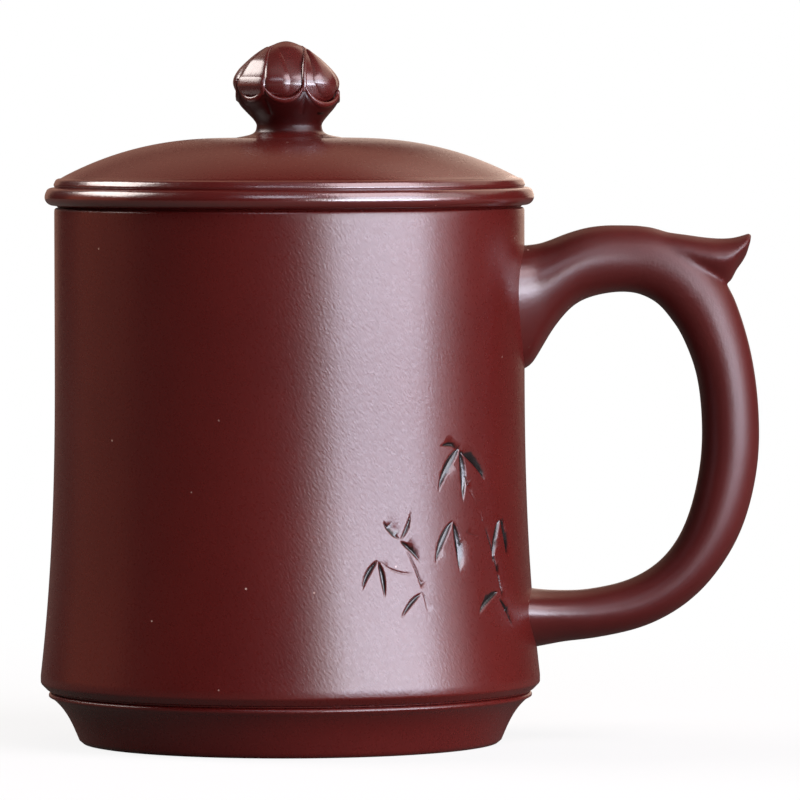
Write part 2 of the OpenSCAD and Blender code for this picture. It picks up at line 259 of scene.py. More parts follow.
# ---------------------------------------------------------------- materials
class Nodes:
    """Short words for the nodes that the clays are mixed from."""

    def __init__(self, tree):
        self.tree = tree

    def add(self, kind, inputs=(), **settings):
        n = self.tree.nodes.new(kind)
        for key, value in settings.items():
            setattr(n, key, value)
        for key, value in dict(inputs).items():
            if isinstance(value, bpy.types.NodeSocket):
                self.tree.links.new(value, n.inputs[key])
            else:
                n.inputs[key].default_value = value
        return n

    def find(self, kind):
        return next(n for n in self.tree.nodes if n.type == kind)

    def place(self):
        return self.add("ShaderNodeTexCoord").outputs["Object"]

    def unrolled(self):
        """How far round the wall and how high, in metres, with the seam under the handle."""
        at = self.add("ShaderNodeSeparateXYZ", {0: self.place()}).outputs
        turn = self.math("ARCTAN2", self.math("MULTIPLY", at[1], -1.0), self.math("MULTIPLY", at[0], -1.0))
        round_wall = self.math("MULTIPLY", turn, SPRIG_R * MM)
        return self.add("ShaderNodeCombineXYZ", {0: round_wall, 1: at[2]}).outputs[0]

    def from_axis(self, where):
        """How far from the mug's axis, in metres."""
        flat = self.add("ShaderNodeVectorMath", {0: where, 1: (1, 1, 0)}, operation="MULTIPLY").outputs[0]
        return self.add("ShaderNodeVectorMath", {0: flat}, operation="LENGTH").outputs["Value"]

    def noise(self, where, scale, detail=2.0, roughness=0.5):
        inputs = {"Vector": where, "Scale": scale, "Detail": detail, "Roughness": roughness}
        return self.add("ShaderNodeTexNoise", inputs).outputs["Fac"]

    def attribute(self, name):
        return self.add("ShaderNodeAttribute", attribute_name=name).outputs["Fac"]

    def ramp(self, value, low, high, out_low=0.0, out_high=1.0):
        inputs = {"Value": value, "From Min": low, "From Max": high, "To Min": out_low, "To Max": out_high}
        return self.add("ShaderNodeMapRange", inputs, clamp=True).outputs[0]

    def math(self, how, a, b):
        return self.add("ShaderNodeMath", {0: a, 1: b}, operation=how).outputs[0]

    def mix(self, share, a, b):
        n = self.add("ShaderNodeMix", data_type="RGBA")
        for key, value in ((0, share), (6, a), (7, b)):
            if isinstance(value, bpy.types.NodeSocket):
                self.tree.links.new(value, n.inputs[key])
            else:
                n.inputs[key].default_value = value if key == 0 else (*value, 1)
        return n.outputs[2]

    def bump(self, height, distance, under=None):
        inputs = {"Height": height, "Distance": distance, "Strength": 1.0}
        if under is not None:
            inputs["Normal"] = under
        return self.add("ShaderNodeBump", inputs).outputs[0]

    def vary(self, shader, name, share, there):
        """Moves one of the shader's own values to another one as share goes from 0 to 1."""
        socket = shader.inputs[name]
        self.tree.links.new(self.ramp(share, 0.0, 1.0, socket.default_value, there), socket)


# The wall's radius where the sprig is cut, to measure along the wall
SPRIG_R = 43.0
BROWNS = (0.084, 0.0066, 0.0050), (0.070, 0.0048, 0.0038)


def speckled(n, here, colour):
    """A few pale grains of sand in the clay."""
    cells = n.add("ShaderNodeTexVoronoi", {"Vector": here, "Scale": 420}, feature="F1").outputs
    lot = n.add("ShaderNodeSeparateColor", {"Color": cells["Color"]}).outputs[0]
    grain = n.math("MULTIPLY", n.ramp(lot, 0.965, 0.97), n.ramp(cells["Distance"], 0.10, 0.05))
    return n.mix(grain, colour, (0.42, 0.27, 0.22))


def grained(n, here, grain, round_wall):
    """The burnisher's short slanting strokes, and a finer grit over them."""
    strokes = {"Vector": n.unrolled() if round_wall else here, "Rotation": (0, 0, math.radians(54))}
    slant = n.add("ShaderNodeMapping", strokes).outputs[0]
    drawn_out = n.add("ShaderNodeMapping", {"Vector": slant, "Scale": (0.42, 1, 0.7)}).outputs[0]
    normal = n.bump(n.noise(drawn_out, 2500, 1.0), 0.028 * MM * grain)
    return n.bump(n.noise(here, 4200, 1.0), 0.008 * MM * grain, under=normal)


def clay(name, light, dark, rough=0.28, specular=0.65, ior=1.5, grain=1.0, specks=True, round_wall=False,
         finish=None):
    """Fine unglazed clay, burnished to a satin: mottled colour, a leathery grain and a few pale specks.
    round_wall runs the strokes round the wall, and finish does what is special to one piece."""
    m = bpy.data.materials.new(name)
    m.use_nodes = True
    n = Nodes(m.node_tree)
    shader = n.find("BSDF_PRINCIPLED")
    for key, value in (("Roughness", rough), ("Specular IOR Level", specular), ("IOR", ior)):
        shader.inputs[key].default_value = value
    here = n.place()
    clouds = n.ramp(n.noise(here, 38, 3, 0.55), 0.33, 0.68)
    mottles = n.ramp(n.noise(here, 520, 3, 0.6), 0.3, 0.75, 0.0, 0.2)
    colour = n.mix(mottles, n.mix(clouds, dark, light), tuple(v * 0.72 for v in dark))
    if specks:
        colour = speckled(n, here, colour)
    roughness = n.ramp(n.noise(here, 1500, 1), 0.3, 0.7, rough - 0.012, rough + 0.022)
    if finish:
        colour, roughness = finish(n, here, shader, colour, roughness)
    looks = {"Base Color": colour, "Roughness": roughness, "Normal": grained(n, here, grain, round_wall)}
    for key, socket in looks.items():
        m.node_tree.links.new(socket, shader.inputs[key])
    return m


def dark_cuts(n, here, shader, colour, roughness):
    """The sprig's cuts are coloured near-black once a little deep, and are less rough where deepest."""
    depth = n.attribute("incised")
    colour = n.mix(n.ramp(depth, 0.15, 0.5), colour, (0.006, 0.0045, 0.0045))
    return colour, n.math("SUBTRACT", roughness, n.ramp(depth, 0.3, 1.0, 0.0, 0.1))


def rubbed_mouldings(n, here, shader, colour, roughness):
    """The mouldings round the lid are rubbed to a shine."""
    rubbed = n.ramp(n.from_axis(here), 0.0400, 0.0409)
    n.vary(shader, "Specular IOR Level", rubbed, 1.0)
    n.vary(shader, "IOR", rubbed, 1.64)
    return colour, n.math("SUBTRACT", roughness, n.math("MULTIPLY", rubbed, 0.07))


def pressed_root(n, here, shader, colour, roughness):
    """Pressed smooth round the place where it is luted to the wall."""
    root = n.ramp(n.from_axis(here), 0.044, 0.060, 1.0, 0.0)
    n.vary(shader, "Specular IOR Level", root, 0.9)
    return colour, n.math("SUBTRACT", roughness, n.math("MULTIPLY", root, 0.11))


def polished_lip_clear_of_painted_shade(n, here, shader, colour, roughness):
    """The calyx is shinier on its lip. There, and partly on the foot of its neck, the painted shade gives way
    to the knob clay's own redder colour.
    """
    lip = n.attribute("lip")
    n.vary(shader, "Specular IOR Level", lip, 1.0)
    colour = n.mix(lip, colour, (0.080, 0.0070, 0.0056))
    return colour, n.math("SUBTRACT", roughness, n.math("MULTIPLY", lip, 0.14))


WALL_CLAY = clay("burnished_brown_clay", *BROWNS, round_wall=True, finish=dark_cuts)
LID_CLAY = clay("rubbed_lid_clay", *BROWNS, grain=0.7, finish=rubbed_mouldings)
HANDLE_CLAY = clay("smoothed_handle_clay", (0.072, 0.0055, 0.0042), (0.060, 0.0041, 0.0032),
                   rough=0.43, specular=0.55, grain=0.7, finish=pressed_root)
KNOB_CLAY = clay("polished_knob_clay", (0.080, 0.0075, 0.0060), (0.066, 0.0052, 0.0042),
                 rough=0.27, specular=1.0, ior=1.6, grain=0.08, specks=False)
# Painted shade: the calyx is the knob's clay made far darker for the shade of the petals over its cup; its
# lip and the foot of its neck get the knob's own colour back.
CALYX_CLAY_PAINTED_SHADE = clay("calyx_clay_painted_shade", (0.034, 0.0020, 0.0016), (0.024, 0.0015, 0.0012),
                  rough=0.34, specular=0.3, grain=0.3, specks=False, finish=polished_lip_clear_of_painted_shade)
INFUSER_CLAY = clay("infuser_clay", (0.104, 0.0100, 0.0080), (0.086, 0.0072, 0.0058),
                    rough=0.5, specular=0.4)
BASE_CLAY = clay("unburnished_base_clay", (0.100, 0.0110, 0.0088), (0.076, 0.0072, 0.0058),
                 rough=0.6, specular=0.3)


def give(piece, body, material, slot, *nodes):
    """Gives a finished piece its clay and its body, and hides the part nodes it stands for."""
    piece.data.materials.clear()
    piece.data.materials.append(material)
    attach(piece, body)
    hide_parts(*nodes)


# ---------------------------------------------------------------- mug wall
wall_line = eased([
    (INNER_R, FOOT_H), (GROOVE_R, FOOT_H), (GROOVE_R, FOOT_H + 0.28, 0.1), (43.75, FOOT_H + 0.42, 0.12),
    (SHOULDER_R, 10.9, 0.3), (SHOULDER_R, SHOULDER_Z)])
wall_line += [(wall_radius(z), z) for z in np.linspace(SHOULDER_Z + 0.4, FLARE_FROM_Z, 44)]
wall_line += eased([
    (RIM_R, FLARE_FROM_Z + 1), (RIM_R, RIM_Z, 0.6), (SEAT_R, RIM_Z, 0.3), (SEAT_R, SEAT_Z, 0.2),
    (INNER_R, SEAT_Z, 0.35), (INNER_R, FOOT_H)])
wall = turn_clay("wall_of_mug", stepped(wall_line, 1.35))
finish_mesh(wall, close=False)

# ---------------------------------------------------------------- the sprig cut into the wall
# A leaf or stem is one stroke of the knife: [angle round the wall, height] of its ends, its greatest width,
# how far it bows to the side and where along it is widest.
STROKES = [
    # main stem and twigs
    (62.0, 21.5, 50.5, 45.0, 0.62, -1.6, 0.5), (50.5, 45.0, 45.5, 54.0, 0.45, 0.5, 0.4),
    (56.8, 33.0, 61.5, 41.5, 0.4, 0.5, 0.4), (53.8, 38.5, 42.5, 41.5, 0.36, 0.8, 0.4),
    (34.5, 25.5, 27.5, 38.5, 0.42, -0.8, 0.4), (30.8, 32.5, 21.5, 35.0, 0.34, 0.7, 0.4),
    # leaves of the upper cluster
    (45.6, 54.2, 38.6, 46.6, 1.7, -0.7, 0.4), (45.8, 54.0, 46.4, 44.6, 1.55, 0.5, 0.42),
    (46.0, 53.6, 55.0, 48.0, 1.6, 0.9, 0.4), (45.4, 54.3, 39.4, 54.6, 1.0, -0.5, 0.45),
    # leaves of the right-hand twig
    (61.3, 41.2, 57.2, 33.2, 1.5, -0.6, 0.4), (61.6, 41.4, 64.4, 33.4, 1.35, 0.6, 0.42),
    # leaves of the middle twig
    (42.8, 41.4, 37.2, 34.0, 1.45, -0.6, 0.42), (43.2, 41.3, 44.6, 32.2, 1.5, 0.4, 0.4),
    # leaves low on the stem
    (58.8, 28.4, 50.4, 24.6, 1.5, -0.8, 0.42), (59.2, 27.2, 64.6, 21.9, 1.1, 0.5, 0.4),
    # the small twig to the left
    (27.4, 38.6, 23.0, 42.2, 0.8, 0.4, 0.45), (27.6, 38.4, 30.6, 43.4, 0.8, -0.4, 0.45),
    (27.6, 38.2, 32.8, 34.4, 1.0, 0.4, 0.4), (21.6, 35.0, 17.6, 29.6, 1.0, -0.5, 0.42),
    (21.8, 34.8, 23.2, 28.2, 1.05, 0.3, 0.42), (32.8, 29.0, 27.2, 24.6, 0.95, -0.4, 0.42),
]
CUT_DEPTH, LEAST_HALF_WIDTH = 0.42, 0.02
SPRIG_LOW, SPRIG_HIGH, SPRIG_BACK = 18.0, 60.0, -12.0
MIDDLE_OF_WALL_R = (INNER_R + RIM_R) / 2


def on_unrolled_wall(angle, z):
    return math.radians(angle) * SPRIG_R, z


def cut_depth(points):
    """How deep the knife went at each point on the wall, from 0 to 1: its sides slope 45 degrees, and the
    bottom of a wide cut slopes less."""
    s, z = np.arctan2(points[:, 0], -points[:, 1]) * SPRIG_R, points[:, 2] / MM
    depth = np.zeros(len(points))
    for a1, z1, a2, z2, width, bow, widest in STROKES:
        p, q = np.array(on_unrolled_wall(a1, z1)), np.array(on_unrolled_wall(a2, z2))
        d = q - p
        length = np.hypot(*d)
        d /= length
        along = ((s - p[0]) * d[0] + (z - p[1]) * d[1]) / length
        t = np.clip(along, 0, 1)
        off = (s - p[0]) * -d[1] + (z - p[1]) * d[0] - bow * 4 * t * (1 - t)
        swell = np.sin(math.pi * t ** (math.log(0.5) / math.log(widest))) ** 0.8
        half = np.maximum(width / 2 * swell, LEAST_HALF_WIDTH)
        past_end = np.abs(along - t) * length
        v = np.clip(1 - np.hypot(off, past_end) / half, 0, 1)
        depth = np.maximum(depth, np.minimum(v * half / CUT_DEPTH, 0.45 + 0.55 * v) * (v > 0))
    return np.clip(depth, 0, 1)


def near_a_stroke(face, reach=1.7):
    c = face.calc_center_median()
    s, z = math.atan2(c.x, -c.y) * SPRIG_R, c.z / MM
    outside = math.hypot(c.x, c.y) > MIDDLE_OF_WALL_R * MM
    if not outside or c.y > SPRIG_BACK * MM or not SPRIG_LOW < z < SPRIG_HIGH:
        return False
    for a1, z1, a2, z2, _, bow, _ in STROKES:
        p, q = Vector(on_unrolled_wall(a1, z1)), Vector(on_unrolled_wall(a2, z2))
        d = q - p
        t = max(0.0, min(1.0, ((s - p.x) * d.x + (z - p.y) * d.y) / d.length_squared))
        bowed = p + d * t + Vector((-d.y, d.x)).normalized() * bow * 4 * t * (1 - t)
        if math.dist((s, z), bowed) < reach:
            return True
    return False


def cut_sprig(wall):
    """Divides the wall's faces near the sprig, puts them back on the round and presses the knife in."""
    pick(wall)
    bpy.ops.object.mode_set(mode="EDIT")
    bpy.ops.mesh.select_all(action="DESELECT")
    bm = bmesh.from_edit_mesh(wall.data)
    for f in bm.faces:
        f.select = near_a_stroke(f)
    bm.select_flush_mode()
    bmesh.update_edit_mesh(wall.data)
    bpy.ops.mesh.subdivide(number_cuts=7)
    bpy.ops.object.mode_set(mode="OBJECT")
    co = np.empty(len(wall.data.vertices) * 3)
    wall.data.vertices.foreach_get("co", co)
    co = co.reshape(-1, 3)
    from_axis, z = np.hypot(co[:, 0], co[:, 1]) / MM, co[:, 2] / MM
    outer = (from_axis > MIDDLE_OF_WALL_R) & (z > SHOULDER_Z + 0.3) & (z < RIM_Z - 1.2)
    on_the_round = np.array([wall_radius(up) for up in z[outer]])
    co[outer, :2] *= (on_the_round / from_axis[outer])[:, None]
    wall.data.vertices.foreach_set("co", co.ravel())
    depth = np.where(outer & (co[:, 1] < 0), cut_depth(co), 0.0)
    knife = wall.vertex_groups.new(name="knife")
    for i in np.nonzero(depth)[0]:
        knife.add([int(i)], float(depth[i]), "REPLACE")
    incised = wall.data.attributes.new("incised", "FLOAT", "POINT")
    incised.data.foreach_set("value", depth.astype(np.float32))
    wall.data.update()
    add_modifier(wall, "DISPLACE", strength=-CUT_DEPTH * MM, mid_level=0.0, direction="NORMAL",
                 vertex_group="knife")


cut_sprig(wall)
give(wall, "mug", WALL_CLAY, "brown_clay", "mug_wall")

# ---------------------------------------------------------------- foot and base
foot_line = [(BASE_R, 0.35), (BASE_R + 0.12, 0.1), (BASE_R + 0.4, 0.0)]
foot_line += [(FOOT_R - 0.8, 0.0), (FOOT_R - 0.35, 0.08), (FOOT_R - 0.08, 0.3)]
foot_line += [(foot_radius(z) + 0.05, z) for z in np.linspace(0.62, 8.0, 22)]
foot_line += arc((42.9, 8.68), 0.55, -22, 88, 9)
foot_line += [(42.6, FOOT_H - 0.04), (42.2, FOOT_H), (INNER_R, FOOT_H)]
foot_line += [(BASE_R + (INNER_R - BASE_R) * math.sin(math.radians(a)),
               FOOT_H - (FOOT_H - BASE_TOP) * math.cos(math.radians(a))) for a in range(80, -1, -10)]
foot_line += [(BASE_R, 0.35)]
foot = turn_clay("foot_of_mug", stepped(foot_line, 1.2))
finish_mesh(foot, close=False)
give(foot, "mug", WALL_CLAY, "brown_clay", "foot_ring")

base_line = eased([
    (MIDDLE_R, BASE_LOW), (BASE_R, BASE_LOW, 0.3), (BASE_R, BASE_TOP, 0.1), (MIDDLE_R, BASE_TOP)])
base = turn_clay("base_of_mug", stepped(base_line, 3.0), sides=128)
finish_mesh(base)
give(base, "mug", BASE_CLAY, "base_clay", "base_slab")

# ---------------------------------------------------------------- handle and spur
# The handle's bar: [out, up] as shares of its reach and of the height between its roots, how far it has
# turned from its start, in degrees, and its thickness as a share of HANDLE_T
HANDLE = [
    (-0.10, 0.985, 2, 2.25), (0.03, 1.00, 3, 2.15), (0.10, 1.035, 5, 1.93), (0.18, 1.085, 8, 1.64),
    (0.29, 1.132, 11, 1.352), (0.435, 1.150, 12, 1.212), (0.59, 1.145, 18, 1.19), (0.735, 1.097, 34, 1.17),
    (0.845, 1.015, 53, 1.15), (0.91, 0.93, 65, 1.08), (0.97, 0.80, 77, 1.01), (0.997, 0.645, 87, 1.00),
    (0.99, 0.49, 95, 1.00), (0.936, 0.33, 108, 0.97), (0.844, 0.205, 125, 0.90), (0.715, 0.110, 144, 0.87),
    (0.54, 0.045, 160, 0.86), (0.33, 0.013, 170, 0.86), (0.18, 0.005, 173, 0.90), (0.065, 0, 175, 1.00),
    (-0.06, 0, 176, 1.15)]
# The spur's bar: out from the rim's radius, up from the upper root, its turn, thickness and width
SPUR = [
    (22.5, 10.5, 14, 6.2, 10), (28.3, 8.75, 10, 8.2, 12), (32.8, 7.6, 5, 9.2, 12.6),
    (36.4, 7.6, 3, 9.0, 11.8), (38.6, 9.5, 10, 6.3, 10), (39.7, 10.45, 12, 5.2, 8.4),
    (40.4, 11.15, 14, 3.6, 5.6)]
HANDLE_REACH, HANDLE_T, HANDLE_W = 37.05, 10.3, 13.0
LOW_ROOT_Z, HIGH_ROOT_Z = 22.4, 78.4
# How much wider the bar is at the wall, and how fast that fades further out
ROOT_SPREAD, SPREAD_FADES = 6.0, 7.0
# The cut under the spur: a point of it, out from the rim's radius and up from the upper root, and its fall
CUT_OUT, CUT_UP, CUT_FALL = 16.6, 14.1, math.radians(26)
# The fold under the spur starts between these, out from the rim's radius
FOLD_FROM, FOLD_TO = 34.3, 38.2
# How much fuller or leaner the clay is at a root, and how far out that reaches
ROOT_FULLER, FULLER_TO = 0.22, 22.0


def handle_width(out):
    return HANDLE_W + ROOT_SPREAD * math.exp(-out / SPREAD_FADES)


def pull_handle():
    rings = []
    for out, up, turned, thick in smooth_line(HANDLE, 3):
        out *= HANDLE_REACH
        z = LOW_ROOT_Z + (HIGH_ROOT_Z - LOW_ROOT_Z) * up
        thick, wide = HANDLE_T * thick * PULLED_IN, handle_width(out) * PULLED_IN
        rings.append((RIM_R + out, z, 90 - turned, 0, thick, wide))
    return pull_bar("handle_of_mug", rings)


def pull_spur():
    """The spur, cut off along the slope of the arch that it grows from."""
    rings = [(RIM_R + out, HIGH_ROOT_Z + up, 90 - turned, 0, thick * PULLED_IN, wide * PULLED_IN)
             for out, up, turned, thick, wide in smooth_line(SPUR, 3)]
    spur = pull_bar("thumb_spur_of_handle", rings, section=keeled)
    pick(spur)
    bpy.ops.object.mode_set(mode="EDIT")
    bpy.ops.mesh.select_all(action="SELECT")
    bpy.ops.mesh.bisect(plane_co=((RIM_R + CUT_OUT) * MM, 0, (HIGH_ROOT_Z + CUT_UP) * MM),
                        plane_no=(math.sin(CUT_FALL), 0, math.cos(CUT_FALL)), use_fill=True, clear_inner=True)
    bpy.ops.object.mode_set(mode="OBJECT")
    return spur


def blend_spur(handle):
    """The spur grows out of the arch without a seam, and its fold only starts further on."""
    blend = handle.vertex_groups.new(name="blend")
    for v in handle.data.vertices:
        out = v.co.x / MM - RIM_R
        before_fold = max(0.3 if out < FOLD_TO else 0.0, (FOLD_FROM - out) / 3.0)
        past_arch = max(0.0, (out - 15.0) / 4.0)
        share = min(1.0, before_fold, past_arch)
        if share > 0 and v.co.z > (HIGH_ROOT_Z + 2) * MM:
            blend.add([v.index], share, "REPLACE")
    add_modifier(handle, "SMOOTH", factor=0.5, iterations=45, vertex_group="blend")


def press_roots(handle):
    """Where it is luted to the wall, the clay is fuller above the middle than below."""
    for v in handle.data.vertices:
        out, z = v.co.x / MM - RIM_R, v.co.z / MM
        above = (z - HIGH_ROOT_Z - 2.1) / 9.5 if z > 50 else (z - LOW_ROOT_Z - 0.4) / 5.0
        near = max(0.0, min(1.0, (FULLER_TO - out) / FULLER_TO))
        v.co.y *= 1 + ROOT_FULLER * near * near * (3 - 2 * near) * math.sin(max(-1.57, min(1.57, above)))


handle, spur = pull_handle(), pull_spur()
add_modifier(handle, "BOOLEAN", operation="UNION", solver="EXACT", object=spur)
bpy.data.objects.remove(spur)
add_modifier(handle, "REMESH", mode="VOXEL", voxel_size=0.34 * MM, use_smooth_shade=True)
add_modifier(handle, "SMOOTH", factor=0.5, iterations=5)
blend_spur(handle)
press_roots(handle)
finish_mesh(handle, close=False)
give(handle, "mug", HANDLE_CLAY, "brown_clay", "handle_loop", "thumb_spur")

# ---------------------------------------------------------------- lid
# The bead and the ridge above it each have a broad upper face
BEAD = [
    (42.75, 96.64), (43.15, 96.8), (43.5, 97.08), (43.78, 97.45), (43.91, 97.85), (43.92, 98.2),
    (43.88, 98.5), (43.78, 98.82), (43.66, 99.1), (43.52, 99.36), (43.3, 99.58), (43.0, 99.72),
    (42.65, 99.8), (42.3, 99.84)]
RIDGE = [
    (42.16, 99.92), (42.2, 100.02), (42.29, 100.18), (42.29, 100.38), (42.21, 100.58), (42.09, 100.85),
    (41.96, 101.1), (41.75, 101.3), (41.42, 101.42), (41.05, 101.46)]

lid_line = [(MIDDLE_R, HOLLOW_TOP)]
lid_line += [(HOLLOW_R * k / 14, HOLLOW_TOP - HOLLOW_DROP * (k / 14) ** 2.6) for k in range(1, 15)]
lid_line += eased([(HOLLOW_R, HOLLOW_TOP - HOLLOW_DROP), (HOLLOW_R, RIM_Z), (41.5, RIM_Z, 0.1),
                   (41.75, RIM_Z + 0.3, 0.15), (42.6, RIM_Z + 0.42)])
lid_line += smooth_line(BEAD, 2) + smooth_line(RIDGE, 2) + [(40.9, 101.56), (40.5, 101.79)]
lid_line += [(r, dome_height(r)) for r in np.linspace(DOME_EDGE_R, CROWN_R, 40)]
lid_line += [(r, DOME_TOP) for r in (9, 6, 3, MIDDLE_R)]
lid = turn_clay("dome_of_lid", stepped(lid_line, 2.0))
finish_mesh(lid, angle=40)
give(lid, "lid", LID_CLAY, "brown_clay", "lid_dome")

collar_line = eased([
    (HOLLOW_R, COLLAR_LOW + 2.5), (HOLLOW_R, COLLAR_LOW, 0.3), (COLLAR_R - 0.6, COLLAR_LOW, 0.2),
    (COLLAR_R, COLLAR_LOW + 0.6, 0.25), (COLLAR_R, RIM_Z), (HOLLOW_R, RIM_Z), (HOLLOW_R, COLLAR_LOW + 2.5)])
collar = turn_clay("collar_of_lid", stepped(collar_line, 2.0), sides=160)
finish_mesh(collar, angle=40, close=False)
give(collar, "lid", WALL_CLAY, "brown_clay", "lid_collar")

# ---------------------------------------------------------------- knob: petals
# The bud's outline: radius, height, rise of the outward direction, and half the thickness of a petal there
BUD = [
    (6.9, 115.2, -50, 0.7), (8.1, 115.7, -40, 1.15), (9.0, 116.55, -25, 1.55), (9.5, 117.5, -11, 1.8),
    (9.7, 118.45, 1, 1.9), (9.55, 119.3, 13, 1.9), (9.12, 120.15, 24, 1.85), (8.4, 121.1, 33, 1.75),
    (7.4, 122.1, 41, 1.55), (6.3, 123.1, 46, 1.35), (5.0, 124.1, 52, 1.1), (3.6, 124.95, 60, 0.85),
    (2.3, 125.45, 70, 0.5)]
# A petal: its lift above the outline, its fullness (1 is flat), its section, and rows of [height, left edge,
# right edge], with the edges as angles round the knob from the front towards the handle. A petal's edge lies
# over or under its neighbour's.
PETALS = [
    (0.14, 1.0, squared, (114.4, -54, -34), (116.3, -64, -24), (118.6, -67, -19.5), (120.9, -67, -20.5),
     (123.1, -62, -27), (124.9, -54, -42)),
    (-0.12, 1.45, lopsided, (114.4, -16, 7), (116.3, -30, 14), (118.6, -31, 17), (120.9, -32, 16),
     (123.1, -40, 10), (125.4, -70, -5)),
    (0.10, 1.4, oval, (114.4, 40, 64), (116.3, 33, 80), (118.6, 25, 84), (120.9, 26, 84),
     (123.1, 37, 81), (124.6, 55, 72)),
    (-0.15, 1.2, oval, (114.4, 90, 120), (116.3, 79, 131), (118.6, 78, 134), (120.9, 78, 134),
     (123.1, 84, 128), (124.9, 98, 114)),
    (0.05, 1.2, oval, (114.4, 150, 168), (116.3, 137, 180), (118.6, 131, 186), (120.9, 131, 186),
     (123.1, 136, 180), (125.2, 150, 166)),
    (-0.10, 1.2, oval, (114.4, 200, 218), (116.3, 188, 230), (118.6, 182, 237), (120.9, 182, 237),
     (123.1, 188, 231), (124.8, 202, 217)),
    (0.0, 1.2, oval, (114.4, 248, 275), (116.3, 238, 288), (118.6, 232, 297), (120.9, 233, 295),
     (123.1, 239, 286), (125.0, 250, 272))]
# A flat petal is planed off above this height, from this radius inwards, to a face that leans back
FACET_FROM_Z, FACET_R, FACET_SLOPE, FACET_RISE = 118.3, 9.65, 0.634, 33.0
# From this height up, and over this much of it, the bud leans by this slope
LEANS_FROM_Z, LEANS_OVER, LEAN_SLOPE = 112.0, 9.0, 0.06
BUD_ROWS = smooth_line(BUD, 3)


def front_angle(a):
    """The turn about the mug's axis of an angle measured from the front."""
    return a - 90


def lean_bud(piece):
    """The bud was set a little askew: it leans away from the handle."""
    for v in piece.data.vertices:
        v.co.x -= LEAN_SLOPE * min(LEANS_OVER * MM, max(0.0, v.co.z - LEANS_FROM_Z * MM))
    return piece


def petal_rings(lift, full, edges):
    heights, lefts, rights = zip(*smooth_line(edges, 6))
    rings = []
    for r, z, rise, half in BUD_ROWS:
        if z > heights[-1] + 0.3:
            break
        left, right = np.interp(z, heights, lefts), np.interp(z, heights, rights)
        lean = math.radians(rise)
        half *= full
        if full == 1.0 and z > FACET_FROM_Z:
            r, rise = min(r, FACET_R - FACET_SLOPE * (z - FACET_FROM_Z)), max(rise, FACET_RISE)
        out, up = r + (lift - half) * math.cos(lean), z + (lift - half) * math.sin(lean)
        wide = 2 * out * math.tan(math.radians((right - left) / 2))
        turn = front_angle((left + right) / 2)
        rings.append((out, up, rise, turn, 2 * half * PULLED_IN, wide * PULLED_IN))
    return rings


for i, (lift, full, section, *edges) in enumerate(PETALS):
    petal = pull_bar(f"petal_{i + 1}_of_knob", petal_rings(lift, full, edges), section=section)
    give(lean_bud(petal), "lid", KNOB_CLAY, "knob_clay", "knob_outer_petals")

# The rolled edge of an inner petal, between the front petal and the one towards the handle: its angle, and
# its radius and height on the outline
ROLLED_EDGE = [
    (19.0, 9.3, 116.9), (19.8, 9.55, 118.0), (20.6, 9.5, 119.3), (23.0, 8.75, 120.8), (28.0, 7.45, 122.3),
    (39.0, 5.65, 123.7), (57, 4.0, 124.75), (72, 3.0, 125.2)]
EDGE_SUNK, EDGE_THICK, EDGE_THINS = 0.3, 1.1, 0.45


def rolled_edge_rings():
    """The edge is sunk a little into the bud, and thins towards its top."""
    rings = []
    line = smooth_line(ROLLED_EDGE, 3)
    _, heights, rises, _ = zip(*BUD)
    for k, (angle, r, z) in enumerate(line):
        rise = float(np.interp(z, heights, rises))
        lean = math.radians(rise)
        thick = EDGE_THICK - EDGE_THINS * k / (len(line) - 1)
        out, up = r - EDGE_SUNK * math.cos(lean), z - EDGE_SUNK * math.sin(lean)
        rings.append((out, up, rise, front_angle(angle), thick, thick))
    return rings


rolled = pull_bar("rolled_edge_of_knob", rolled_edge_rings(), sides=12)
give(lean_bud(rolled), "lid", KNOB_CLAY, "knob_clay", "knob_inner_petals")

# ---------------------------------------------------------------- knob: bud inside the petals
bud_line = [(7.6, 114.9), (8.3, 115.7), (8.65, 116.6)]
bud_line += [(r - 0.5 * min(1.0, max(0.0, (r - 2.6) / 3)), z - 0.1) for r, z, *_ in BUD_ROWS[9:]]
bud_line += [(1.7, 125.62), (1.15, 125.8), (0.65, 125.92), (0.25, 125.98)]
bud = turn_clay("bud_of_knob", bud_line, sides=96)
finish_mesh(bud)
give(lean_bud(bud), "lid", KNOB_CLAY, "knob_clay", "knob_core", "knob_inner_petals")

# ---------------------------------------------------------------- knob: stem and calyx
# Angles at which two petals meet, with the height of the calyx there and halfway to the next
MEETINGS = [
    (-68, 119.3, 115.65), (-25.5, 118.0, 115.5), (19.5, 118.6, 114.7), (80, 116.9, 115.2),
    (131.5, 117.8, 115.5), (183, 117.4, 115.3), (234.5, 118.0, 115.6)]
CALYX_SIDES = 252
NECK_R, CUP_FROM_Z, CUP_SIDE_TO_Z, CUP_TO_Z, CUP_SPREAD = 5.85, 110.9, 113.0, 116.0, 3.3
# The lip's radius grows with its height, up to LIP_R_MOST
LIP_R, LIP_R_LOW, LIP_LOW_Z, LIP_GROWS, LIP_R_MOST = 9.0, 8.95, 115.0, 0.15, 9.45
# The foot of the neck: radius, and height above the crown of the lid
NECK_FOOT = [
    (10.8, -0.25), (9.3, 0.1), (8.1, 0.32), (7.1, 0.56), (6.45, 0.85), (6.08, 1.22), (5.91, 1.7), (5.86, 2.1)]
# The lip's section, from the cup's outside over its crest to its inside: [outwards, up] from its middle
LIP = [
    (0.0, -1.8), (0.0, -1.35), (0.02, -1.0), (0.12, -0.66), (0.27, -0.3), (0.31, 0.04), (0.2, 0.32),
    (0.0, 0.42), (-0.22, 0.36), (-0.4, 0.12), (-0.5, -0.25), (-0.6, -0.8), (-1.0, -1.6), (-1.7, -2.3)]
# Its rows before LIP_ROLL keep to the cup's outside, and those after LIP_INSIDE to its inside
LIP_ROLL, LIP_INSIDE = 4, 8


